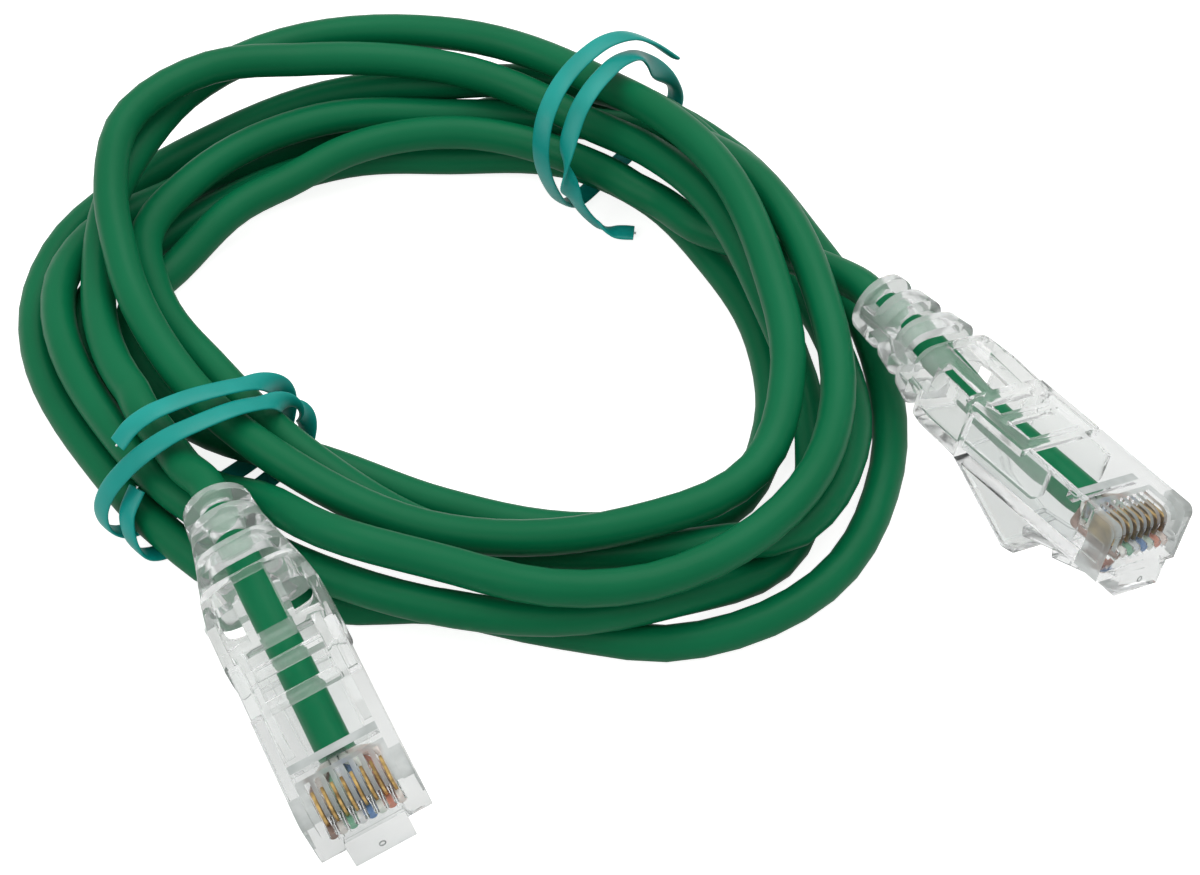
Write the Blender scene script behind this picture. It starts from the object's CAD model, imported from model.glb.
"""Looks of a wound green network cable with a clear plug and a clear slotted boot at each end.

Every piece is modelled in metres. A piece of a plug is modelled in the plug's own frame, where x
runs forward to the nose at 0, y to the left and z up from the underside, and is then laid on the
table where that plug lies.
"""

import logging
import math
from dataclasses import dataclass
from enum import Enum
from typing import Any, Callable, Iterable, Optional, Sequence

import bpy
from mathutils import Euler, Matrix, Vector


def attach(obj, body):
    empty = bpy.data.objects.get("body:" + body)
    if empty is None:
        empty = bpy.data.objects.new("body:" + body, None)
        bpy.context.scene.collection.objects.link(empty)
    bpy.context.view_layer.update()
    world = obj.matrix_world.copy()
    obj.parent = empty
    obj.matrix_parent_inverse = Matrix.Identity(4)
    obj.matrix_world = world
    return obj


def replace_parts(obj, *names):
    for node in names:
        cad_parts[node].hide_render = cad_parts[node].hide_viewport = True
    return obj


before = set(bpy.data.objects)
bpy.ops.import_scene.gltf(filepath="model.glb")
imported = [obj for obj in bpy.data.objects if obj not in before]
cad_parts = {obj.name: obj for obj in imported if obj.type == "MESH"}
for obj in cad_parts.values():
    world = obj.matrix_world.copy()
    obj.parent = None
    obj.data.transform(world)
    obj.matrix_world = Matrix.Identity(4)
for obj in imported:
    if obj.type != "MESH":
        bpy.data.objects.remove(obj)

MM = 0.001
log = logging.getLogger("patch_cable")

Piece = bpy.types.Object
Tree = bpy.types.NodeTree
Node = bpy.types.Node
Socket = bpy.types.NodeSocket
Inputs = dict[Any, Any]  # values or sockets by an input's name or number
Point = tuple[float, float, float]
Colour = tuple[float, float, float]
Station = tuple[float, float, float]  # bearing in degrees, reach and height

# Sizes that the cord, the plugs and the boots share, in millimetres
JACKET_D = 3.8  # outside diameter of the jacket
BOOT_END = 42.0  # distance of a boot's tail from the nose
TAIL_Z = 4.5  # height of the tail's middle over the plug's underside

LINE_STEPS = 6  # steps of a smooth line between two of its points
JACKET_FINENESS = 7  # fineness of the jacket's round tube


class End(Enum):
    """The cable's two ends."""

    A = "a"
    B = "b"

    def node(self, base: str) -> str:
        """Name of this end's copy of a CAD node or piece."""
        return f"{base}_{self.value}"


class Slot(Enum):
    """The record's material slots that new pieces take their finish from."""

    JACKET = "jacket"
    CLEAR_PLUG = "clear_plug"
    CLEAR_BOOT = "clear_boot"
    GOLD = "gold"
    TIE_RIBBON = "tie_ribbon"
    TIE_STEEL = "tie_steel"
    WIRE_ORANGE = "wire_orange"
    WIRE_GREEN = "wire_green"
    WIRE_BLUE = "wire_blue"
    WIRE_BROWN = "wire_brown"


# ---- shader nodes ----


def set_inputs(node: Node, values: Inputs) -> None:
    """Sets a node's inputs, or links them to the sockets given for them."""
    for label, value in values.items():
        if isinstance(value, Socket):
            node.id_data.links.new(value, node.inputs[label])
        else:
            node.inputs[label].default_value = value


def added(tree: Tree, kind: str, values: Optional[Inputs] = None) -> Node:
    """A new node of a type without its ShaderNode, with some of its inputs set or linked."""
    node = tree.nodes.new(f"ShaderNode{kind}")
    set_inputs(node, values or {})
    return node


def ramped(tree: Tree, value: Socket, stops: Sequence[tuple[float, Colour]]) -> Socket:
    """The colour that a ramp between two stops, each a place and a colour, gives a value."""
    ramp = added(tree, "ValToRGB", {"Fac": value})
    for element, (place, colour) in zip(ramp.color_ramp.elements, stops):
        element.position = place
        element.color = (*colour, 1)
    return ramp.outputs["Color"]


def mixed(tree: Tree, output: str, share: Socket, below: Socket, above: Socket) -> None:
    """Mixes two shaders into the named output; a share of 1 is the second one alone."""
    mix = added(tree, "MixShader", {0: share, 1: below, 2: above})
    set_inputs(tree.nodes[output], {"Surface": mix.outputs["Shader"]})


def reckoned(tree: Tree, operation: str, first: Socket, second: Any) -> Socket:
    """What a sum of a socket and another, or a number, comes to."""
    node = added(tree, "Math", {0: first, 1: second})
    node.operation = operation
    return node.outputs[0]


def moulded_grain() -> Tree:
    """Shared fine grain of moulded and extruded plastic.

    Returns:
        The node group. Scale, both roughnesses and Vector go in; Height and Roughness come out.
    """
    name = "MouldedGrain"
    if name in bpy.data.node_groups:
        return bpy.data.node_groups[name]
    group = bpy.data.node_groups.new(name, "ShaderNodeTree")
    sockets = [(label, "INPUT", "Float") for label in ("Scale", "Low Roughness", "High Roughness")]
    sockets += [("Vector", "INPUT", "Vector"), ("Height", "OUTPUT", "Float"),
                ("Roughness", "OUTPUT", "Float")]
    for label, way, kind in sockets:
        group.interface.new_socket(name=label, in_out=way, socket_type=f"NodeSocket{kind}")
    given = group.nodes.new("NodeGroupInput")
    out = group.nodes.new("NodeGroupOutput")
    place = given.outputs["Vector"]
    fine = added(group, "TexNoise", {"Vector": place, "Detail": 3.0,
                                     "Scale": given.outputs["Scale"]})
    broad = added(group, "TexNoise", {"Vector": place, "Scale": 70.0, "Detail": 2.0})
    spread = added(group, "MapRange", {
        "Value": broad.outputs["Fac"], "From Min": 0.35, "From Max": 0.65,
        "To Min": given.outputs["Low Roughness"], "To Max": given.outputs["High Roughness"]})
    set_inputs(out, {"Height": fine.outputs["Fac"], "Roughness": spread.outputs["Result"]})
    return group


# ---- finishes ----

DRIFT_FROM, DRIFT_TO = 0.35, 0.68  # noise where the drift to the second colour starts and ends
SHADOW_TINT = (0.93, 0.94, 0.94, 1)  # what a clear piece leaves of the light through it


@dataclass(frozen=True)
class Finish:
    """A plastic, rubber or metal surface with a fine grain.

    Attributes:
        name: Name of the Blender material.
        slot: The record's material slot that it dresses.
        colour: Main colour, linear.
        second: Colour that the main one drifts towards in soft patches, linear.
        drift_scale: Patches per metre.
        roughness: Lowest and highest roughness over the surface.
        grain_scale: Grains per metre.
        grain_depth: Height of the grain in metres.
        metallic: 1 for a metal.
        specular: Specular level of the shader.
    """

    name: str
    slot: Slot
    colour: Colour
    second: Colour
    drift_scale: float = 40.0
    roughness: tuple[float, float] = (0.35, 0.45)
    grain_scale: float = 900.0
    grain_depth: float = 0.00001
    metallic: float = 0.0
    specular: float = 0.5

    def material(self) -> bpy.types.Material:
        """Builds the material once and returns it."""
        if self.name in bpy.data.materials:
            return bpy.data.materials[self.name]
        made = bpy.data.materials.new(self.name)
        made.use_nodes = True
        tree = made.node_tree
        shader = tree.nodes["Principled BSDF"]
        set_inputs(shader, {"Metallic": self.metallic, "Specular IOR Level": self.specular})
        place = added(tree, "TexCoord").outputs["Object"]
        self._grain(tree, place, shader)
        self._colour(tree, place, shader)
        self._more(tree, shader)
        return made

    def _grain(self, tree: Tree, place: Socket, shader: Node) -> None:
        """Wires the shared grain into roughness and bump."""
        grain = added(tree, "Group")
        grain.node_tree = moulded_grain()
        low, high = self.roughness
        set_inputs(grain, {"Vector": place, "Scale": self.grain_scale,
                           "Low Roughness": low, "High Roughness": high})
        bump = added(tree, "Bump", {"Strength": 1.0, "Distance": self.grain_depth,
                                    "Height": grain.outputs["Height"]})
        set_inputs(shader, {"Roughness": grain.outputs["Roughness"],
                            "Normal": bump.outputs["Normal"]})

    def _colour(self, tree: Tree, place: Socket, shader: Node) -> None:
        """Lets the colour drift softly over the surface."""
        patches = added(tree, "TexNoise", {"Vector": place, "Scale": self.drift_scale,
                                           "Detail": 2.0})
        set_inputs(shader, {"Base Color": ramped(tree, patches.outputs["Fac"], (
            (DRIFT_FROM, self.colour), (DRIFT_TO, self.second)))})

    def _more(self, tree: Tree, shader: Node) -> None:
        """Room for what a special finish adds."""


@dataclass(frozen=True)
class ClearFinish(Finish):
    """Clear moulded plastic that lets light through to what lies under it.

    Attributes:
        ior: Index of refraction.
        clarity: Share of the light that goes through; the rest makes it milky.
    """

    ior: float = 1.45
    clarity: float = 1.0

    def _more(self, tree: Tree, shader: Node) -> None:
        """Makes the shader glass, and lets shadow rays through it."""
        set_inputs(shader, {"Transmission Weight": self.clarity, "IOR": self.ior})
        path = added(tree, "LightPath")
        through = added(tree, "BsdfTransparent", {"Color": SHADOW_TINT})
        mixed(tree, "Material Output", path.outputs["Is Shadow Ray"], shader.outputs["BSDF"],
              through.outputs["BSDF"])


JACKET = Finish(
    "JacketPVC", Slot.JACKET, (0.0008, 0.128, 0.048), (0.002, 0.146, 0.057), drift_scale=55.0,
    roughness=(0.34, 0.44), grain_scale=2600.0, grain_depth=0.000006, specular=0.13)
RIBBON = Finish(
    "TieRibbon", Slot.TIE_RIBBON, (0.002, 0.27, 0.23), (0.006, 0.34, 0.3), drift_scale=120.0,
    roughness=(0.28, 0.4), grain_scale=1800.0, grain_depth=0.000008, specular=0.3)
TIE_STEEL = Finish(
    "TieSteel", Slot.TIE_STEEL, (0.6, 0.6, 0.6), (0.75, 0.75, 0.76),
    roughness=(0.2, 0.3), grain_scale=6000.0, grain_depth=0.000002, metallic=1.0)
GOLD = Finish(
    "ContactGold", Slot.GOLD, (0.72, 0.49, 0.19), (0.26, 0.16, 0.065), drift_scale=900.0,
    roughness=(0.28, 0.42), grain_scale=5000.0, grain_depth=0.000002, metallic=1.0)
PLUG_CLEAR = ClearFinish(
    "PlugPolycarbonate", Slot.CLEAR_PLUG, (0.97, 0.975, 0.975), (0.95, 0.96, 0.96),
    roughness=(0.01, 0.05), grain_scale=300.0, grain_depth=0.000003, ior=1.14, clarity=0.97)
PLUG_EDGE = ClearFinish(
    "PlugEdge", Slot.CLEAR_PLUG, (0.42, 0.44, 0.43), (0.57, 0.59, 0.58), drift_scale=500.0,
    roughness=(0.2, 0.35), grain_depth=0.000004, ior=1.3, clarity=0.8)
PLUG_FROST = ClearFinish(
    "PlugComb", Slot.CLEAR_PLUG, (0.58, 0.61, 0.6), (0.48, 0.51, 0.5), drift_scale=700.0,
    roughness=(0.3, 0.5), grain_depth=0.000006, ior=1.25, clarity=0.7)
BAR_GREY = Finish(
    "PlugBarGrey", Slot.CLEAR_PLUG, (0.38, 0.41, 0.4), (0.5, 0.53, 0.52), drift_scale=400.0,
    roughness=(0.2, 0.35), grain_depth=0.000004)
BOOT_CLEAR = ClearFinish(
    "BootSoftPVC", Slot.CLEAR_BOOT, (0.96, 0.965, 0.96), (0.94, 0.95, 0.945),
    roughness=(0.03, 0.1), grain_scale=350.0, grain_depth=0.000004, ior=1.14, clarity=0.92)
BOOT_EDGE = ClearFinish(
    "BootEdge", Slot.CLEAR_BOOT, (0.86, 0.88, 0.87), (0.94, 0.95, 0.945), drift_scale=400.0,
    roughness=(0.2, 0.35), grain_depth=0.000006, ior=1.22, clarity=0.6)
BOOT_TAIL = ClearFinish(
    "BootTail", Slot.CLEAR_BOOT, (0.93, 0.94, 0.935), (0.88, 0.9, 0.89), drift_scale=300.0,
    roughness=(0.08, 0.18), grain_scale=600.0, grain_depth=0.000005, ior=1.2, clarity=0.84)

WHITE = (0.8, 0.8, 0.76)
PALE = 0.45  # share of white in a white wire's flashes
# Each pair's slot and colour, and the pins of its white wire with flashes and of its full one
WIRES: dict[str, tuple[Slot, Colour, int, int]] = {
    "orange": (Slot.WIRE_ORANGE, (0.58, 0.25, 0.18), 0, 1),
    "green": (Slot.WIRE_GREEN, (0.2, 0.42, 0.29), 2, 5),
    "blue": (Slot.WIRE_BLUE, (0.14, 0.25, 0.46), 4, 3),
    "brown": (Slot.WIRE_BROWN, (0.26, 0.18, 0.15), 6, 7),
}


def wire_finish(name: str, slot: Slot, colour: Colour, second: Optional[Colour] = None) -> Finish:
    """Insulation of one wire, plain or white with flashes of its partner's colour."""
    return Finish(name, slot, colour, second or colour, drift_scale=650.0 if second else 80.0,
                  roughness=(0.25, 0.35), grain_scale=3000.0, grain_depth=0.000002)


# ---- modelling helpers ----

MERGE_MM = 0.004  # corners of a CAD mesh that are nearer than this become one
FLAT_DEG = 1.0  # faces of a CAD mesh that meet at less than this become one
CLEAR_DEG = 30.0  # edges of a clear piece that are sharper than this are rounded
CLEAR_ROUND = 0.16  # width of that rounding in millimetres
MOULDED_DEG = 35.0  # faces of a moulded piece that meet at less than this are shaded smooth
SAME_PLACE = 1e-6  # corners that are nearer than this, in metres, are at the same place


def enter(mode: str) -> None:
    """Goes to edit or object mode."""
    bpy.ops.object.mode_set(mode=mode)


def deselect() -> None:
    """Leaves edit mode and selects nothing."""
    if bpy.context.object and bpy.context.object.mode != "OBJECT":
        enter("OBJECT")
    bpy.ops.object.select_all(action="DESELECT")


def make_active(piece: Piece) -> None:
    """Selects one piece alone and makes it the active one."""
    deselect()
    piece.select_set(True)
    bpy.context.view_layer.objects.active = piece


def edited(piece: Piece, *steps: Callable[[], Any]) -> None:
    """Takes the steps in turn, in edit mode with the whole mesh selected."""
    make_active(piece)
    enter("EDIT")
    bpy.ops.mesh.select_all(action="SELECT")
    for step in steps:
        step()
    enter("OBJECT")


def linked(name: str, data: bpy.types.ID) -> Piece:
    """A new object in the scene that holds the data."""
    made = bpy.data.objects.new(name, data)
    bpy.context.scene.collection.objects.link(made)
    return made


def bevelled(piece: Piece, width: float, segments: int, angle: float = 35.0,
             material: int = -1) -> None:
    """Rounds the piece's edges.

    Args:
        piece: The mesh to round.
        width: Width of the rounding in millimetres.
        segments: Faces across the rounding.
        angle: Edges sharper than this many degrees are rounded.
        material: Number of the material that the rounding gets, or -1 for its neighbours'.
    """
    bevel = piece.modifiers.new("Bevel", "BEVEL")
    bevel.width = width * MM
    bevel.segments = segments
    bevel.limit_method = "ANGLE"
    bevel.angle_limit = math.radians(angle)
    bevel.material = material
    make_active(piece)
    bpy.ops.object.modifier_apply(modifier=bevel.name)


def smooth(piece: Piece, angle: float) -> None:
    """Shades faces that meet at less than this many degrees smooth."""
    make_active(piece)
    bpy.ops.object.shade_smooth_by_angle(angle=math.radians(angle))


def solid_copy(node: str, name: str) -> Piece:
    """A copy of a CAD node's mesh with its loose triangles merged into clean faces."""
    piece = linked(name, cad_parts[node].data.copy())
    piece.data.materials.clear()
    edited(piece, lambda: bpy.ops.mesh.remove_doubles(threshold=MERGE_MM * MM),
           lambda: bpy.ops.mesh.dissolve_limited(angle_limit=math.radians(FLAT_DEG)))
    return piece


def block(name: str, low: Point, high: Point, rounding: float = 0.0, segments: int = 1) -> Piece:
    """A block between two corners, sharp or rounded, in millimetres of the plug's frame."""
    deselect()
    middle = [(a + b) / 2 * MM for a, b in zip(low, high)]
    bpy.ops.mesh.primitive_cube_add(size=1, location=middle)
    piece = bpy.context.object
    piece.name = name
    piece.scale = [(b - a) * MM for a, b in zip(low, high)]
    bpy.ops.object.transform_apply(location=True, rotation=True, scale=True)
    if rounding:
        bevelled(piece, rounding, segments)
    return piece


def joined(name: str, pieces: Sequence[Piece]) -> Piece:
    """Joins pieces into one mesh with the given name."""
    make_active(pieces[0])
    for piece in pieces:
        piece.select_set(True)
    bpy.ops.object.join()
    whole = bpy.context.object
    whole.name = name
    return whole


def repaint(piece: Piece, finish: Finish) -> None:
    """Gives the whole piece one finish."""
    piece.data.materials.clear()
    piece.data.materials.append(finish.material())


def dress(piece: Piece, finish: Finish) -> Piece:
    """Gives the whole piece one finish."""
    repaint(piece, finish)
    return piece


def smooth_line(points: Sequence[Vector], steps: int) -> list[Vector]:
    """A smooth line through points, with the same number of steps between each two."""
    line = []
    ends = [points[0] * 2 - points[1], *points, points[-1] * 2 - points[-2]]
    for i in range(1, len(ends) - 2):
        p, q, r, s = ends[i - 1: i + 3]
        for step in range(steps):
            t = step / steps
            line.append(0.5 * (2 * q + (r - p) * t + (2 * p - 5 * q + 4 * r - s) * t * t
                               + (3 * q - p - 3 * r + s) * t ** 3))
    line.append(points[-1].copy())
    return line


def tube_curve(name: str, points: Sequence[Vector], radius: float, fineness: int) -> Piece:
    """A round tube on one open spline, with closed ends and 2 * fineness + 4 sides."""
    curve = bpy.data.curves.new(name, "CURVE")
    curve.dimensions = "3D"
    curve.bevel_depth = radius
    curve.bevel_resolution = fineness
    curve.use_fill_caps = True
    spline = curve.splines.new("POLY")
    spline.points.add(len(points) - 1)
    for target, point in zip(spline.points, points):
        target.co = (*point, 1)
    spline.use_smooth = True
    return linked(name, curve)


def tube_mesh(name: str, points: Sequence[Vector], radius: float, fineness: int) -> Piece:
    """The same tube as tube_curve makes, as a mesh."""
    make_active(tube_curve(name, points, radius, fineness))
    bpy.ops.object.convert(target="MESH")
    return bpy.context.object


def swept(name: str, points: Sequence[Vector], across: Sequence[Vector],
          outline: Sequence[tuple[float, float]]) -> Piece:
    """Sweeps a closed outline along a line into a closed mesh.

    Args:
        name: Name of the piece.
        points: The line, in metres.
        across: For each point, the direction in which the outline's second number runs.
        outline: Points of the outline, in metres: out from the line, and across it.
    """
    corners = []
    for i, point in enumerate(points):
        ahead = (points[min(i + 1, len(points) - 1)] - points[max(i - 1, 0)]).normalized()
        side = (across[i] - ahead * across[i].dot(ahead)).normalized()
        out = ahead.cross(side)
        corners += [point + out * u + side * v for u, v in outline]
    n = len(outline)
    faces = [(i * n + j, i * n + (j + 1) % n, (i + 1) * n + (j + 1) % n, (i + 1) * n + j)
             for i in range(len(points) - 1) for j in range(n)]
    faces.append(tuple(reversed(range(n))))
    faces.append(tuple(range(len(corners) - n, len(corners))))
    mesh = bpy.data.meshes.new(name)
    mesh.from_pydata([tuple(c) for c in corners], [], faces)
    piece = linked(name, mesh)
    edited(piece, lambda: bpy.ops.mesh.normals_make_consistent(inside=False))
    return piece


# ---- the lie of the plugs ----

# The point midway between the two plugs, which everything is placed from
MIDWAY = Vector((8.7, -23.8, 0.0))

# From a face's middle in metres of the plug's frame, how far it looks up there and the number of
# its material to the number that it gets
Chooser = Callable[[Vector, float, int], int]


@dataclass(frozen=True)
class Lie:
    """Where a plug's nose lies on the table, and how the plug is turned.

    Attributes:
        end: Which end of the cable the plug is.
        nose: The nose in millimetres, before MIDWAY is taken off.
        turn: Roll, pitch and heading in degrees.
    """

    end: End
    nose: Point
    turn: Point

    def matrix(self) -> Matrix:
        """Takes the plug's frame to the table, in metres."""
        turned = Euler([math.radians(a) for a in self.turn], "XYZ").to_matrix().to_4x4()
        return Matrix.Translation((Vector(self.nose) - MIDWAY) * MM) @ turned

    def at(self, x: float, y: float, z: float) -> Vector:
        """A point of the plug's frame in millimetres, on the table in metres."""
        return self.matrix() @ (Vector((x, y, z)) * MM)

    def lay(self, piece: Piece, body: str) -> Piece:
        """Lays a piece modelled in the plug's frame on the table, riding on a body."""
        piece.data.transform(self.matrix())
        piece.data.update()
        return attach(piece, body)

    def clear_piece(self, base: str, body: str, faces: Finish, edges: Finish,
                    rounding: float = CLEAR_ROUND, cuts: Sequence[float] = ()) -> Piece:
        """A clear piece that stands for its CAD node, with rounded edges that catch the light.

        Args:
            base: Name of the CAD node without its end.
            body: The body that the piece rides on.
            faces: Finish of its faces.
            edges: Finish of its rounded edges.
            rounding: Width of the rounding in millimetres.
            cuts: Places along the plug where its long faces are parted.
        """
        node = self.end.node(base)
        piece = solid_copy(node, node + "_clear")
        along = self.matrix().col[0].to_3d()
        for x in cuts:
            spot = self.at(x, 0, 0)
            edited(piece, lambda: bpy.ops.mesh.bisect(plane_co=spot, plane_no=along))
        dress(piece, faces)
        piece.data.materials.append(edges.material())
        bevelled(piece, rounding, 2, CLEAR_DEG, material=1)
        smooth(piece, MOULDED_DEG)
        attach(piece, body)
        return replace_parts(piece, node)

    def with_mark(self, piece: Piece, mark: Piece, finish: Finish) -> Piece:
        """Joins a small mark that was modelled in the plug's frame to a piece on the table."""
        dress(mark, finish)
        mark.data.transform(self.matrix())
        return joined(piece.name, [piece, mark])

    def part_faces(self, piece: Piece, finishes: Sequence[Finish], choose: Chooser) -> None:
        """Adds finishes to those of a piece on the table, and chooses each face's again."""
        for finish in finishes:
            piece.data.materials.append(finish.material())
        back = self.matrix().inverted()
        turn = back.to_3x3()
        for face in piece.data.polygons:
            up = (turn @ face.normal).z
            face.material_index = choose(back @ face.center, up, face.material_index)


LIES = (
    Lie(End.A, (-20.7, -57.0, 8.3), (15.0, -3.6, -66.6)),
    Lie(End.B, (53.4, -25.0, 8.1), (-19.3, -2.5, -53.8)),
)


# ---- the cord ----


@dataclass(frozen=True)
class WoundCord:
    """The green cord from one boot's tail round the bundle to the other's.

    Attributes:
        middle: The middle of the bundle, before MIDWAY is taken off.
        turns: For each turn, its bearings with the cord's reach and height there.
        lead_a: Points between the bundle and boot A.
        lead_b: Points between boot B and the bundle.
        lead_straight: How far the cord leaves a boot straight.
        rings_per_turn: Plain steps of the cord's line in one turn of the bundle.
        fineness: Steps that the cord takes for each plain one.
    """

    middle: Point = (-16.0, 17.0, 0.0)
    turns: tuple[tuple[Station, ...], ...] = (
        ((150, 37.9, 9.5), (178, 38.5, 7.5), (193, 39.5, 8.5), (208, 40.5, 9), (223, 41.6, 9.5),
         (240, 40.8, 10), (268, 35.7, 11.2), (300, 30.6, 12.4), (322, 29.3, 14.5),
         (345, 30.5, 15.5), (368, 34, 14.5), (388, 40.2, 12), (405, 44.3, 10.5), (422, 42, 9.5),
         (450, 36.5, 7.5), (480, 32.9, 9)),
        ((150, 32.5, 9.5), (178, 35.5, 11.5), (193, 38.5, 13), (208, 41.2, 13.5), (223, 38.8, 14),
         (240, 35, 12), (268, 30.5, 10.5), (300, 26.8, 9.5), (322, 27.6, 10), (345, 29.5, 11),
         (368, 34, 9.5), (388, 43.5, 3.5), (405, 49.5, 2), (422, 49.5, 5.5), (435, 48.5, 6.5),
         (450, 45.5, 6.5), (465, 43.1, 6.6), (480, 40.4, 4.8), (492, 41, 6.1)),
        ((150, 41, 6.4), (178, 43, 6), (193, 41.5, 4.5), (208, 37.5, 2.5), (223, 34.5, 2),
         (240, 32.5, 2), (268, 31, 2), (300, 38, 3), (322, 39.5, 2.5), (345, 41, 2),
         (368, 46.5, 2), (388, 52, 2), (405, 55, 2), (422, 52.5, 2), (435, 46.5, 2),
         (450, 41.8, 2), (465, 43.1, 2), (480, 44, 2), (492, 43.4, 2.5)),
        ((150, 43.2, 2.5), (178, 46, 2), (193, 45.5, 2), (208, 42.5, 2), (223, 39, 3),
         (240, 35.7, 5), (268, 32.4, 6.6), (300, 35.3, 6.8), (322, 36.3, 5.5), (345, 36.3, 2),
         (368, 42, 2), (388, 48, 4.5), (405, 50.5, 6.5), (412, 47, 6.5), (422, 42, 5),
         (450, 33.5, 3.5), (480, 29.2, 6.6)),
        ((150, 28.4, 7.3), (178, 32.5, 6.5), (193, 35, 6.5), (208, 33.5, 7), (223, 32.5, 6.5),
         (240, 30.5, 6.5), (268, 28, 5.5), (300, 30, 6), (322, 32.6, 9), (345, 34.6, 13),
         (368, 39.2, 13), (388, 46, 10.5), (405, 50.2, 11), (422, 50.5, 10.5), (435, 48.5, 11),
         (450, 43, 10.5), (466, 40.9, 10.9), (480, 36.5, 6.6), (492, 36.5, 3.5)),
        ((150, 38, 3), (178, 41, 2), (193, 37, 2), (208, 32.5, 2), (223, 29.8, 2), (240, 27.5, 2),
         (268, 24.6, 2), (300, 26, 3), (322, 27.8, 2.5), (345, 29.7, 2), (368, 34, 2),
         (388, 38.5, 2), (405, 41, 2), (422, 35.8, 2), (450, 28.4, 2), (480, 26.4, 2.6)),
        ((150, 33, 3), (178, 35.5, 2), (193, 31.5, 2.5), (208, 28.5, 4.5), (223, 26, 5),
         (240, 25, 6), (268, 23.5, 7), (300, 23.5, 6.5), (322, 25, 6)),
    )
    lead_a: tuple[Point, ...] = ((-42.5, -12.5, 9.6), (-45, -8.5, 9.4))
    lead_b: tuple[Point, ...] = ((10, 26.4, 6.4), (12.2, 24.9, 6.4), (15.4, 23.1, 6.6),
                                 (18.7, 21, 7.2), (21.6, 18.7, 8.4))
    lead_straight: float = 4.0
    rings_per_turn: int = 24
    fineness: int = 4

    def around(self, bearing: float, reach: float, height: float) -> Vector:
        """A point by its bearing round the bundle, reach and height, in millimetres."""
        a = math.radians(bearing)
        spoke = Vector((reach * math.cos(a), -reach * math.sin(a), height))
        return Vector(self.middle) - MIDWAY + spoke

    def stations(self) -> list[Station]:
        """The turns' stations in one run, with bearings that go on past 360."""
        return [(b + 360 * k, r, z) for k, turn in enumerate(self.turns) for b, r, z in turn]

    def coil_point(self, run: Sequence[Station], bearing: float) -> Vector:
        """The cord's centre, in millimetres, on a smooth curve through a run of stations."""
        last = len(run) - 1
        i = max(k for k in range(last) if k == 0 or run[k][0] <= bearing)

        def slope(k: int) -> Vector:
            """Slope of reach and height at a station, from its neighbours."""
            before, after = run[max(k - 1, 0)], run[min(k + 1, last)]
            return Vector((after[1] - before[1], after[2] - before[2])) / (after[0] - before[0])

        a, b = run[i], run[i + 1]
        span = b[0] - a[0]
        u = (bearing - a[0]) / span
        p = ((2 * u ** 3 - 3 * u ** 2 + 1) * Vector(a[1:])
             + (3 * u ** 2 - 2 * u ** 3) * Vector(b[1:])
             + (u ** 3 - 2 * u ** 2 + u) * span * slope(i)
             + (u ** 3 - u ** 2) * span * slope(i + 1))
        return self.around(bearing, p[0], max(p[1], JACKET_D / 2))

    def wound(self, fineness: int) -> list[Vector]:
        """Points of the bundle, in millimetres, this many times finer than its plain rings."""
        run = self.stations()
        first, last = run[0][0], run[-1][0]
        count = math.ceil((last - first) / 360 * self.rings_per_turn) * fineness
        return [self.coil_point(run, first + (last - first) * i / count) for i in range(count + 1)]

    def centreline(self) -> list[Vector]:
        """The cord's whole centre line from boot B's tail to boot A's, in metres."""
        rings = self.wound(1)
        start = rings[0] - (rings[1] - rings[0]).normalized() * JACKET_D
        end = rings[-1] + (rings[-1] - rings[-2]).normalized() * JACKET_D
        backs = (self.lead_straight, 0)
        tail_a, tail_b = ([lie.at(-BOOT_END - back, 0, TAIL_Z) / MM for back in backs]
                          for lie in LIES)
        from_b = [*reversed(tail_b), *(Vector(p) - MIDWAY for p in reversed(self.lead_b)), end]
        to_a = [start, *(Vector(p) - MIDWAY for p in reversed(self.lead_a)), *tail_a]
        fine = list(reversed(self.wound(self.fineness)))
        line = (smooth_line(from_b + [fine[0]], LINE_STEPS)[:-1] + fine
                + smooth_line([fine[-1]] + to_a, LINE_STEPS)[1:])
        return [p * MM for p in line]

    def build(self) -> Piece:
        """Lays the whole cord, with both its leads, in one tube."""
        cord = tube_curve("cable_cord", self.centreline(), JACKET_D / 2 * MM, JACKET_FINENESS)
        cord.data.materials.append(JACKET.material())
        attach(cord, "cable")
        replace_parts(cord, "coil", "lead_a", "lead_b")
        return cord

    def declare(self) -> None:
        line = self.centreline()


# ---- the twist ties ----


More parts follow.
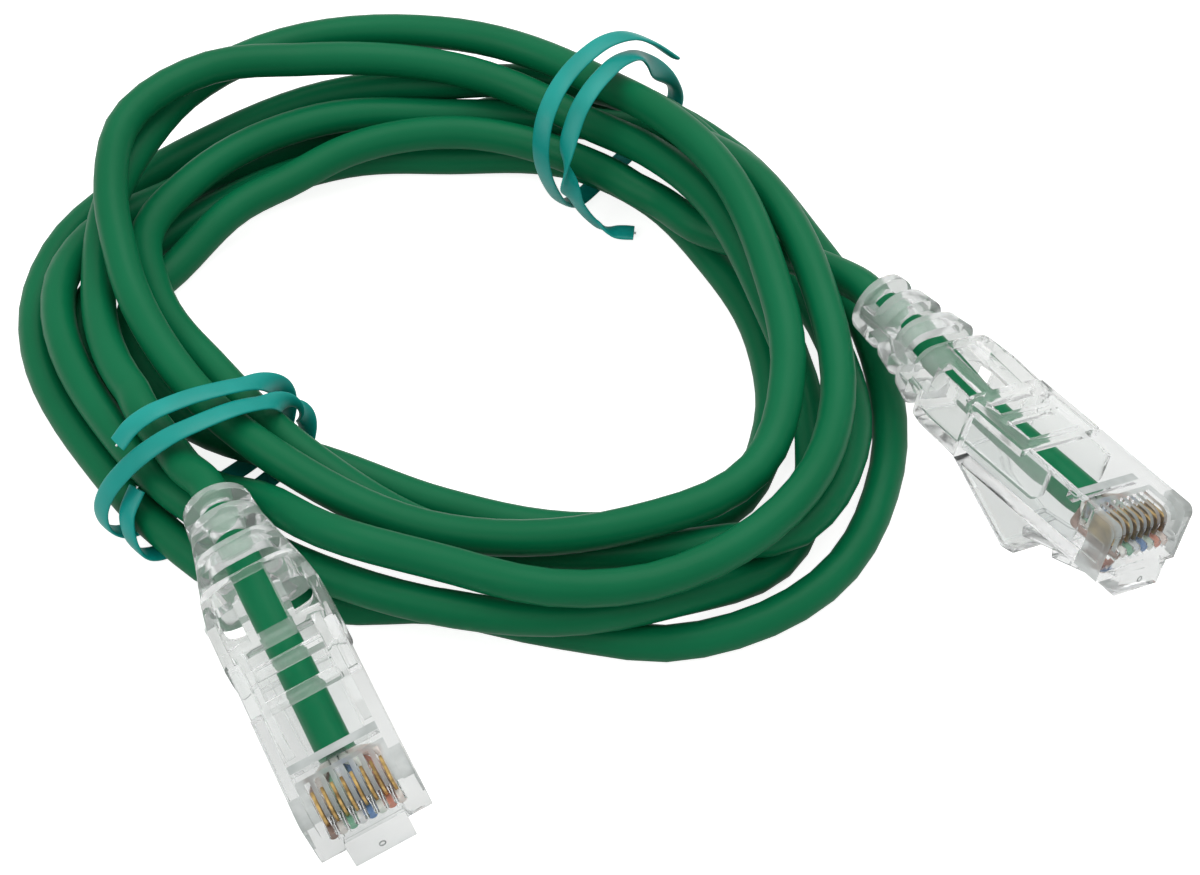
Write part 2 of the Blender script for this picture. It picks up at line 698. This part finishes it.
@dataclass(frozen=True)
class TwistTie:
    """A flat plastic ribbon with a wire along its middle, folded round the bundle.

    Attributes:
        name: Name of the CAD node that it stands for.
        bearing: Where the tie crosses the bundle.
        twists: Half turns of the ribbon: the points it starts and ends at, and how many.
        points: Bearing, reach and height of the ribbon's middle, in turn.
        width: Width of the ribbon in millimetres.
        edge: Thickness at its edges.
        ridge: Thickness over the wire.
        facets: Faces across each side of the ribbon.
        wire_d: Diameter of the wire.
        wire_bare: How far the wire stands out of the ribbon's ends.
        wire_fineness: Fineness of the wire's round tube.
        shade_deg: Faces of the ribbon that meet at less than this are shaded smooth.
        steps: Steps of the line between two points.
    """

    name: str
    bearing: float
    twists: tuple[tuple[float, float, int], ...]
    points: tuple[Station, ...]
    width: float = 2.2
    edge: float = 0.11
    ridge: float = 0.56
    facets: int = 10
    wire_d: float = 0.3
    wire_bare: float = 0.25
    wire_fineness: int = 3
    shade_deg: float = 50.0
    steps: int = 8

    def outline(self) -> list[tuple[float, float]]:
        """The ribbon's section: swollen over the wire, and thin at its edges."""
        half, edge, ridge = self.width / 2, self.edge / 2, self.ridge / 2
        slants = [math.pi * k / self.facets for k in range(self.facets + 1)]
        above = [(edge + (ridge - edge) * math.sin(a), half * math.cos(a)) for a in slants]
        below = [(-u, v) for u, v in reversed(above)]
        return [(u * MM, v * MM) for u, v in above + below]

    def across(self, line: Sequence[Vector], i: int) -> Vector:
        """The way across the ribbon at step i of its middle line, turned in its twists."""
        a = math.radians(self.bearing)
        flat = Vector((-math.sin(a), -math.cos(a), 0))
        roll = 0.0
        for first, last, halves in self.twists:
            share = min(max((i / self.steps - first) / (last - first), 0.0), 1.0)
            roll += halves * math.pi * share * share * (3 - 2 * share)
        ahead = line[min(i + 1, len(line) - 1)] - line[max(i - 1, 0)]
        side = (flat - ahead * flat.dot(ahead) / ahead.length_squared).normalized()
        return Matrix.Rotation(roll, 3, ahead) @ side

    def build(self, cord: WoundCord) -> list[Piece]:
        """Makes the ribbon and its wire round a cord, whose bearings the points use."""
        marks = [cord.around(*p) for p in self.points]
        line = [p * MM for p in smooth_line(marks, self.steps)]
        across = [self.across(line, i) for i in range(len(line))]
        ribbon = swept(self.name + "_ribbon", line, across, self.outline())
        smooth(ribbon, self.shade_deg)
        dress(ribbon, RIBBON)
        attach(ribbon, "cable")
        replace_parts(ribbon, self.name)
        tips = [end + (end - near).normalized() * self.wire_bare * MM
                for end, near in ((line[0], line[1]), (line[-1], line[-2]))]
        wire = tube_curve(self.name + "_core", [tips[0], *line, tips[1]], self.wire_d / 2 * MM,
                          self.wire_fineness)
        wire.data.materials.append(TIE_STEEL.material())
        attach(wire, "cable")
        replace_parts(wire, self.name + "_wire")
        log.info("%s built", self.name)
        return [ribbon, wire]


TIES = (
    TwistTie("tie_front", 136.0, ((9, 13, 2), (28.5, 32, 1)), (
        (136.3, 43.6, 6.8), (135.6, 45.6, 4.8), (134.2, 46.4, 2.8), (132.9, 46.2, 1.2),
        (131.9, 45, 0.4), (130.9, 42.6, 0.3), (130, 38, 0.3), (129.4, 31, 0.3), (129.2, 26.2, 0.3),
        (129.2, 24.1, 1.4), (129.2, 23.8, 4.5), (129.3, 24.8, 7.4), (129.6, 27, 9.8),
        (130.2, 29.4, 11.4), (131, 32, 12.6), (131.8, 34.5, 13.2), (132.6, 37, 13.5),
        (133.8, 39.5, 13.3), (135.2, 41.8, 12.2), (136.8, 43.9, 10.2), (138.2, 45.9, 7.4),
        (138.8, 47, 4.6), (138.5, 47, 2.2), (137.8, 45.8, 0.7), (137.2, 44, 0.3), (136.4, 41, 0.3),
        (135.7, 34, 0.3), (135.6, 28.4, 0.35), (135.6, 25.1, 1.4), (135.6, 23.9, 4.4),
        (135.4, 24.4, 8), (135.3, 26.8, 10.7), (135.4, 29.6, 12.4), (136.2, 32.2, 13.3),
        (137.4, 34.8, 13.7), (138.3, 37.2, 13.8), (139, 39.6, 13.7), (139.4, 41.8, 13),
        (139.5, 43.6, 11.6),
    )),
    TwistTie("tie_top", 306.0, ((3, 5.5, 1), (9.5, 13, 1)), (
        (325.4, 24.1, 0.6), (320.8, 22.1, 0.7), (315.7, 21.1, 1.6), (313, 19.8, 4.5),
        (312.4, 18.6, 8), (310.5, 18.9, 12.2), (308.6, 21.4, 15.5), (307.9, 24, 17),
        (307.3, 27, 17.4), (307, 30.2, 17.2), (307, 33.6, 15.6), (307, 36.6, 12),
        (306.8, 39.8, 7.6), (306.4, 41.8, 4.2), (306, 41.6, 1.6), (305.6, 38.6, 0.4),
        (305.4, 33, 0.4), (305.2, 27.6, 0.4), (305, 23, 0.7), (304.8, 20.4, 2.6), (304.4, 18.6, 6),
        (303.4, 17.6, 9.5), (302, 17.8, 12.3), (300.4, 19.4, 14.8), (299.8, 22, 16.6),
        (300.2, 25, 17.7), (301.3, 28, 18.3), (302.9, 31, 18.5), (305, 33.8, 17.8),
        (307.2, 36.2, 15.8), (309.5, 38.4, 13),
    )),
)


# ---- a plug and its boot ----


@dataclass(frozen=True)
class Plug:
    """The clear housing with its contacts, wires, jacket end and latch.

    Sizes are in millimetres of the plug's frame, and places are distances from the nose.

    Attributes:
        lie: Where it lies.
        width: Width of the housing.
        rounding: Width of the rounding of its edges.
        rail_t: Thickness of the rails beside the comb.
        floor_t: Thickness of the floor under the jacket.
        bar_x: Place of the strain bar's front.
        bar_t: Its length.
        bar_low: Height that its upper faces are above.
        comb_l: Place of the comb's back.
        ledge_l: Place of its front.
        ledge_h: Height that its upper faces are above.
        block_l: Place of the back of the hazy nose blocks.
        leeway: How far past a limit a face is still taken.
        bar_up: How far the bar's faces look up, at the least.
        comb_up: The same for the comb's.
        gate_at: Distance before the nose, and height, of the gate mark.
        gate_r: Radius of its ring.
        gate_t: Half the ring's thickness.
        pins: Number of contacts.
        pitch: Distance between two of them.
        blade_low: Lowest corner of a blade, about its pin.
        blade_high: Its highest corner.
        blade_front: Width of the rounding of its front, and the faces across it.
        blade_edges: The same for its other edges, and the angle in degrees that they exceed.
        jacket_low_x: Place where the jacket reaches the floor.
        jacket_high_x: Place where it leaves the height of the boot's tail.
        jacket_step: Step of the jacket's line.
        gap: Room round the wires, and under the jacket.
        wire_d: Diameter of a wire.
        wire_fineness: Fineness of its round tube.
        wire_straight: How far the outer wires, and the inner ones, leave the jacket straight.
        wire_fanned: How far in front of the bar they have fanned out to their pins.
        wire_settled: How far into the comb they come level.
        wire_end: Place of their ends.
    """

    lie: Lie
    width: float = 11.68
    rounding: float = 0.14
    rail_t: float = 1.2
    floor_t: float = 0.9
    bar_x: float = 6.6
    bar_t: float = 1.0
    bar_low: float = 4.6
    comb_l: float = 5.2
    ledge_l: float = 0.8
    ledge_h: float = 3.3
    block_l: float = 3.2
    leeway: float = 0.05
    bar_up: float = 0.5
    comb_up: float = 0.2
    gate_at: tuple[float, float] = (0.9, -0.5)
    gate_r: float = 0.3
    gate_t: float = 0.08
    pins: int = 8
    pitch: float = 1.02
    blade_low: Point = (-4.15, -0.16, 3.05)
    blade_high: Point = (-1.05, 0.16, 4.9)
    blade_front: tuple[float, int] = (0.7, 5)
    blade_edges: tuple[float, int, float] = (0.04, 1, 50.0)
    jacket_low_x: float = 20.5
    jacket_high_x: float = 36.0
    jacket_step: float = 0.5
    gap: float = 0.05
    wire_d: float = 0.9
    wire_fineness: int = 4
    wire_straight: tuple[float, float] = (0.2, 0.5)
    wire_fanned: float = 0.3
    wire_settled: float = 0.8
    wire_end: float = 0.3

    @property
    def jacket_front(self) -> float:
        """Place of the jacket's cut end."""
        return self.bar_x + self.bar_t

    @property
    def jacket_low(self) -> float:
        """Height of the jacket's middle on the housing's floor."""
        return self.floor_t + self.gap + JACKET_D / 2

    def pin_y(self, i: int) -> float:
        """Distance of a pin from the middle, pin 0 on the left."""
        return ((self.pins - 1) / 2 - i) * self.pitch

    def build(self) -> list[Piece]:
        """Makes every piece of the plug."""
        made = [self.housing(), self.latch(), self.contacts(), self.jacket_end()]
        made += [self.pair(colour) for colour in WIRES]
        log.info("plug %s: %d pieces", self.lie.end.value, len(made))
        return made

    def housing(self) -> Piece:
        """The clear housing, hazy over its comb and nose blocks, and grey on its bar."""
        piece = self.lie.clear_piece("housing", "cable", PLUG_CLEAR, PLUG_EDGE,
                                     self.rounding, (-self.block_l,))
        piece = self.lie.with_mark(piece, self.gate_mark(), PLUG_EDGE)
        self.lie.part_faces(piece, (PLUG_FROST, BAR_GREY), self.housing_face)
        return piece

    def housing_face(self, spot: Vector, up: float, now: int) -> int:
        """The Chooser of the housing's faces: 2 is hazy, and 3 is grey."""
        x, y, z = spot / MM
        inner = self.width / 2 - self.rail_t
        on_bar = abs(x + self.bar_x + self.bar_t / 2) < self.bar_t
        if abs(y) < inner and on_bar and up > self.bar_up and z > self.bar_low:
            return 3
        if abs(y) > inner - self.leeway and x > -self.block_l:
            return 2
        on_comb = -self.comb_l - self.leeway < x < -self.ledge_l
        over_comb = z > self.ledge_h + 2 * self.leeway
        return 2 if abs(y) < inner and on_comb and up > self.comb_up and over_comb else now

    def gate_mark(self) -> Piece:
        """The low ring that moulding leaves on the latch foot's front end."""
        deselect()
        x, z = self.gate_at
        bpy.ops.mesh.primitive_torus_add(
            location=(x * MM, 0, z * MM), rotation=(0, math.pi / 2, 0),
            major_radius=self.gate_r * MM, minor_radius=self.gate_t * MM,
            major_segments=20, minor_segments=8)
        bpy.ops.object.transform_apply(location=True, rotation=True, scale=True)
        return bpy.context.object

    def latch(self) -> Piece:
        """The latch under the housing."""
        body = self.lie.end.node("latch")
        return self.lie.clear_piece("latch", body, PLUG_CLEAR, PLUG_EDGE)

    def contacts(self) -> Piece:
        """The eight gold blades, each with a rounded front."""
        contacts = joined(self.lie.end.node("contact_blades"),
                          [self.blade(self.pin_y(i)) for i in range(self.pins)])
        smooth(contacts, MOULDED_DEG)
        dress(contacts, GOLD)
        self.lie.lay(contacts, "cable")
        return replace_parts(contacts, self.lie.end.node("contacts"))

    def blade(self, y: float) -> Piece:
        """One contact blade at a distance from the middle."""
        (x_low, y_low, z_low), (x_high, y_high, z_high) = self.blade_low, self.blade_high
        front = Vector((x_high, z_high)) * MM
        width, steps = self.blade_front
        blade = block("blade", (x_low, y + y_low, z_low), (x_high, y + y_high, z_high))
        make_active(blade)
        enter("EDIT")
        bpy.ops.mesh.select_all(action="DESELECT")
        enter("OBJECT")
        for edge in blade.data.edges:
            ends = [blade.data.vertices[v].co for v in edge.vertices]
            edge.select = all((c.xz - front).length < SAME_PLACE for c in ends)
        enter("EDIT")
        bpy.ops.mesh.select_mode(type="EDGE")
        bpy.ops.mesh.bevel(offset=width * MM, segments=steps, affect="EDGES")
        enter("OBJECT")
        bevelled(blade, *self.blade_edges)
        return blade

    def jacket_height(self, x: float) -> float:
        """Height of the jacket's middle at a distance from the nose."""
        v = (x - self.jacket_low_x) / (self.jacket_high_x - self.jacket_low_x)
        v = min(max(v, 0), 1)
        return self.jacket_low + (TAIL_Z - self.jacket_low) * v * v * (3 - 2 * v)

    def jacket_end(self) -> Piece:
        """The jacket inside boot and housing, up to the strain bar."""
        count = int((BOOT_END - self.jacket_front) / self.jacket_step)
        marks = [BOOT_END - self.jacket_step * k for k in range(count + 1)] + [self.jacket_front]
        line = [Vector((-x, 0, self.jacket_height(x))) * MM for x in marks]
        name = self.lie.end.node("jacket_run")
        piece = tube_mesh(name, line, JACKET_D / 2 * MM, JACKET_FINENESS)
        dress(piece, JACKET)
        self.lie.lay(piece, "cable")
        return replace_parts(piece, self.lie.end.node("jacket_end"))

    def wire(self, i: int) -> Piece:
        """One wire, from the jacket through the comb to the nose.

        In the jacket the wires lie in two rows of four: pins 0, 2, 4 and 6 above the others.
        """
        apart = self.wire_d + self.gap
        high = self.jacket_low + (apart / 2 if i % 2 == 0 else -apart / 2)
        low = self.jacket_low - self.wire_d / 2 - self.gap
        row = ((self.pins / 2 - 1) / 2 - i // 2) * apart
        outer = i < 2 or i > self.pins - 3
        straight = self.wire_straight[0 if outer else 1]
        y = self.pin_y(i)
        marks = [(-self.jacket_front, row, high), (-self.jacket_front + straight, row, high),
                 (-self.bar_x + self.wire_fanned, y, high), (-self.comb_l, y, low),
                 (-self.comb_l + self.wire_settled, y, low), (-self.wire_end, y, low)]
        line = smooth_line([Vector(m) * MM for m in marks], LINE_STEPS)
        return tube_mesh(f"wire{i}", line, self.wire_d / 2 * MM, self.wire_fineness)

    def pair(self, colour: str) -> Piece:
        """A wire pair: one white wire with flashes, one of the full colour."""
        slot, shade, white_pin, full_pin = WIRES[colour]
        striped, full = self.wire(white_pin), self.wire(full_pin)
        pale = tuple(PALE * w + (1 - PALE) * s for w, s in zip(WHITE, shade))
        repaint(striped, wire_finish(f"WireWhite_{colour}", slot, WHITE, pale))
        repaint(full, wire_finish(f"Wire_{colour}", slot, shade))
        whole = joined(self.lie.end.node(f"wires_{colour}"), [full, striped])
        self.lie.lay(whole, "cable")
        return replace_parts(whole, self.lie.end.node(f"pair_{colour}"))


@dataclass(frozen=True)
class Boot:
    """The clear boot with its hood, tail rings and latch guard.

    Attributes:
        lie: Where its plug lies.
        tail_start: Distance from the nose at which the milky tail rings begin.
        mark_low: Lowest corner of the pill-shaped mark on its side.
        mark_high: Its highest corner.
        mark_round: Width of its rounding, and the faces across it.
    """

    lie: Lie
    tail_start: float = 31.5
    mark_low: Point = (-28.05, -6.22, 4.1)
    mark_high: Point = (-27.25, -5.7, 5.4)
    mark_round: tuple[float, int] = (0.22, 3)

    def build(self) -> list[Piece]:
        """Makes the boot and its latch guard."""
        shell = self.lie.clear_piece("boot", "cable", BOOT_CLEAR, BOOT_EDGE)
        mark = block("mark", self.mark_low, self.mark_high, *self.mark_round)
        shell = self.lie.with_mark(shell, mark, BOOT_EDGE)
        self.lie.part_faces(shell, (BOOT_TAIL,), self.shell_face)
        body = self.lie.end.node("latch_guard")
        guard = self.lie.clear_piece("latch_guard", body, BOOT_CLEAR, BOOT_EDGE)
        log.info("boot %s built", self.lie.end.value)
        return [shell, guard]

    def shell_face(self, spot: Vector, up: float, now: int) -> int:
        """The Chooser of the boot's faces: the tail's clear ones get 2, the milky finish."""
        return 2 if now == 0 and spot.x < -self.tail_start * MM else now


# ---- the studio ----


@dataclass(frozen=True)
class Lamp:
    """A square soft lamp that shines at the bundle.

    Attributes:
        name: Name of the lamp.
        at: Where it hangs, in metres.
        size: Length of its side in metres.
        watts: Its power.
    """

    name: str
    at: Point
    size: float
    watts: float

    def build(self) -> None:
        """Hangs the lamp."""
        data = bpy.data.lights.new(self.name, "AREA")
        data.size = self.size
        data.energy = self.watts
        lamp = linked(self.name, data)
        lamp.location = self.at
        lamp.rotation_euler = Vector(self.at).to_track_quat("Z", "Y").to_euler()


@dataclass(frozen=True)
class Studio:
    """Camera, lamps, world and the white table.

    Attributes:
        camera_at: Where the camera stands, in metres.
        camera_tilt: Its angle from straight down, in degrees.
        lens: Focal length on the sensor, in millimetres.
        sensor: Width of the sensor.
        lamps: One broad lamp overhead behind, one to the front left.
        surround: Heights and greys between which the surround goes from dark to pale.
        table_size: Length of the table's side, in metres.
        table_colour: The table's colour under the lamps.
        glow_colour: Colour of the table's own glow.
        glow: Its strength.
        glow_through: Share of the table's glow that clear and shiny pieces show.
    """

    camera_at: Point = (-0.0087, -0.2037, 0.2527)
    camera_tilt: float = 42.0
    lens: float = 95.34
    sensor: float = 36.0
    lamps: tuple[Lamp, ...] = (
        Lamp("overhead", (0.12, 0.25, 0.75), 0.7, 2.6),
        Lamp("front_left", (-0.6, -0.35, 0.55), 0.45, 1.2),
    )
    surround: tuple[tuple[float, Colour], ...] = (
        (0.05, (0.42, 0.42, 0.42)),
        (0.75, (0.85, 0.85, 0.85)),
    )
    table_size: float = 6.0
    table_colour: Colour = (0.6, 0.6, 0.595)
    glow_colour: Colour = (1, 1, 0.995)
    glow: float = 0.85
    glow_through: float = 0.28

    def build(self) -> None:
        """Sets up everything round the object."""
        self.camera()
        for lamp in self.lamps:
            lamp.build()
        self.world()
        self.table()
        bpy.context.scene.view_settings.view_transform = "Standard"

    def camera(self) -> None:
        """The camera at its place."""
        data = bpy.data.cameras.new("camera")
        data.lens = self.lens
        data.sensor_width = self.sensor
        data.sensor_fit = "HORIZONTAL"
        data.clip_start = 0.01
        camera = linked("camera", data)
        camera.location = self.camera_at
        camera.rotation_euler = (math.radians(self.camera_tilt), 0, 0)
        bpy.context.scene.camera = camera

    def world(self) -> None:
        """A soft surround: pale above, darker low down, and white behind the object."""
        world = bpy.data.worlds.new("studio")
        bpy.context.scene.world = world
        world.use_nodes = True
        tree = world.node_tree
        back = tree.nodes["Background"]
        place = added(tree, "TexCoord").outputs["Generated"]
        height = added(tree, "SeparateXYZ", {"Vector": place}).outputs["Z"]
        set_inputs(back, {"Color": ramped(tree, height, self.surround)})
        white = added(tree, "Background", {"Color": (1, 1, 1, 1)})
        path = added(tree, "LightPath")
        mixed(tree, "World Output", path.outputs["Is Camera Ray"], back.outputs["Background"],
              white.outputs["Background"])

    def table(self) -> None:
        """The white table, which keeps only the faintest shadow."""
        deselect()
        bpy.ops.mesh.primitive_plane_add(size=self.table_size, location=(0, 0, 0))
        table = bpy.context.object
        table.name = "table_top"
        made = bpy.data.materials.new("TableWhite")
        made.use_nodes = True
        tree = made.node_tree
        shader = tree.nodes["Principled BSDF"]
        set_inputs(shader, {"Base Color": (*self.table_colour, 1), "Roughness": 0.9,
                            "Specular IOR Level": 0.1})
        glow = added(tree, "Emission", {"Color": (*self.glow_colour, 1), "Strength": self.glow})
        both = added(tree, "AddShader", {0: shader.outputs["BSDF"], 1: glow.outputs["Emission"]})
        path = added(tree, "LightPath").outputs
        bounced = reckoned(tree, "MAXIMUM", path["Is Glossy Ray"], path["Is Transmission Ray"])
        dimmed = reckoned(tree, "MULTIPLY", bounced, self.glow_through)
        seen = reckoned(tree, "MAXIMUM", path["Is Camera Ray"], dimmed)
        mixed(tree, "Material Output", seen, shader.outputs["BSDF"], both.outputs["Shader"])
        table.data.materials.append(made)


def main() -> None:
    """Builds the studio and the cord, then the pieces on it."""
    logging.basicConfig(level=logging.INFO, format="%(name)s: %(message)s")
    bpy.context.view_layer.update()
    Studio().build()
    wound = WoundCord()
    cord = wound.build()
    on_cord = []
    for tie in TIES:
        on_cord += tie.build(wound)
    for lie in LIES:
        pieces = Plug(lie).build() + Boot(lie).build()
        if lie.end is End.A:
            on_cord += pieces
    wound.declare()


if __name__ == "__main__":
    main()
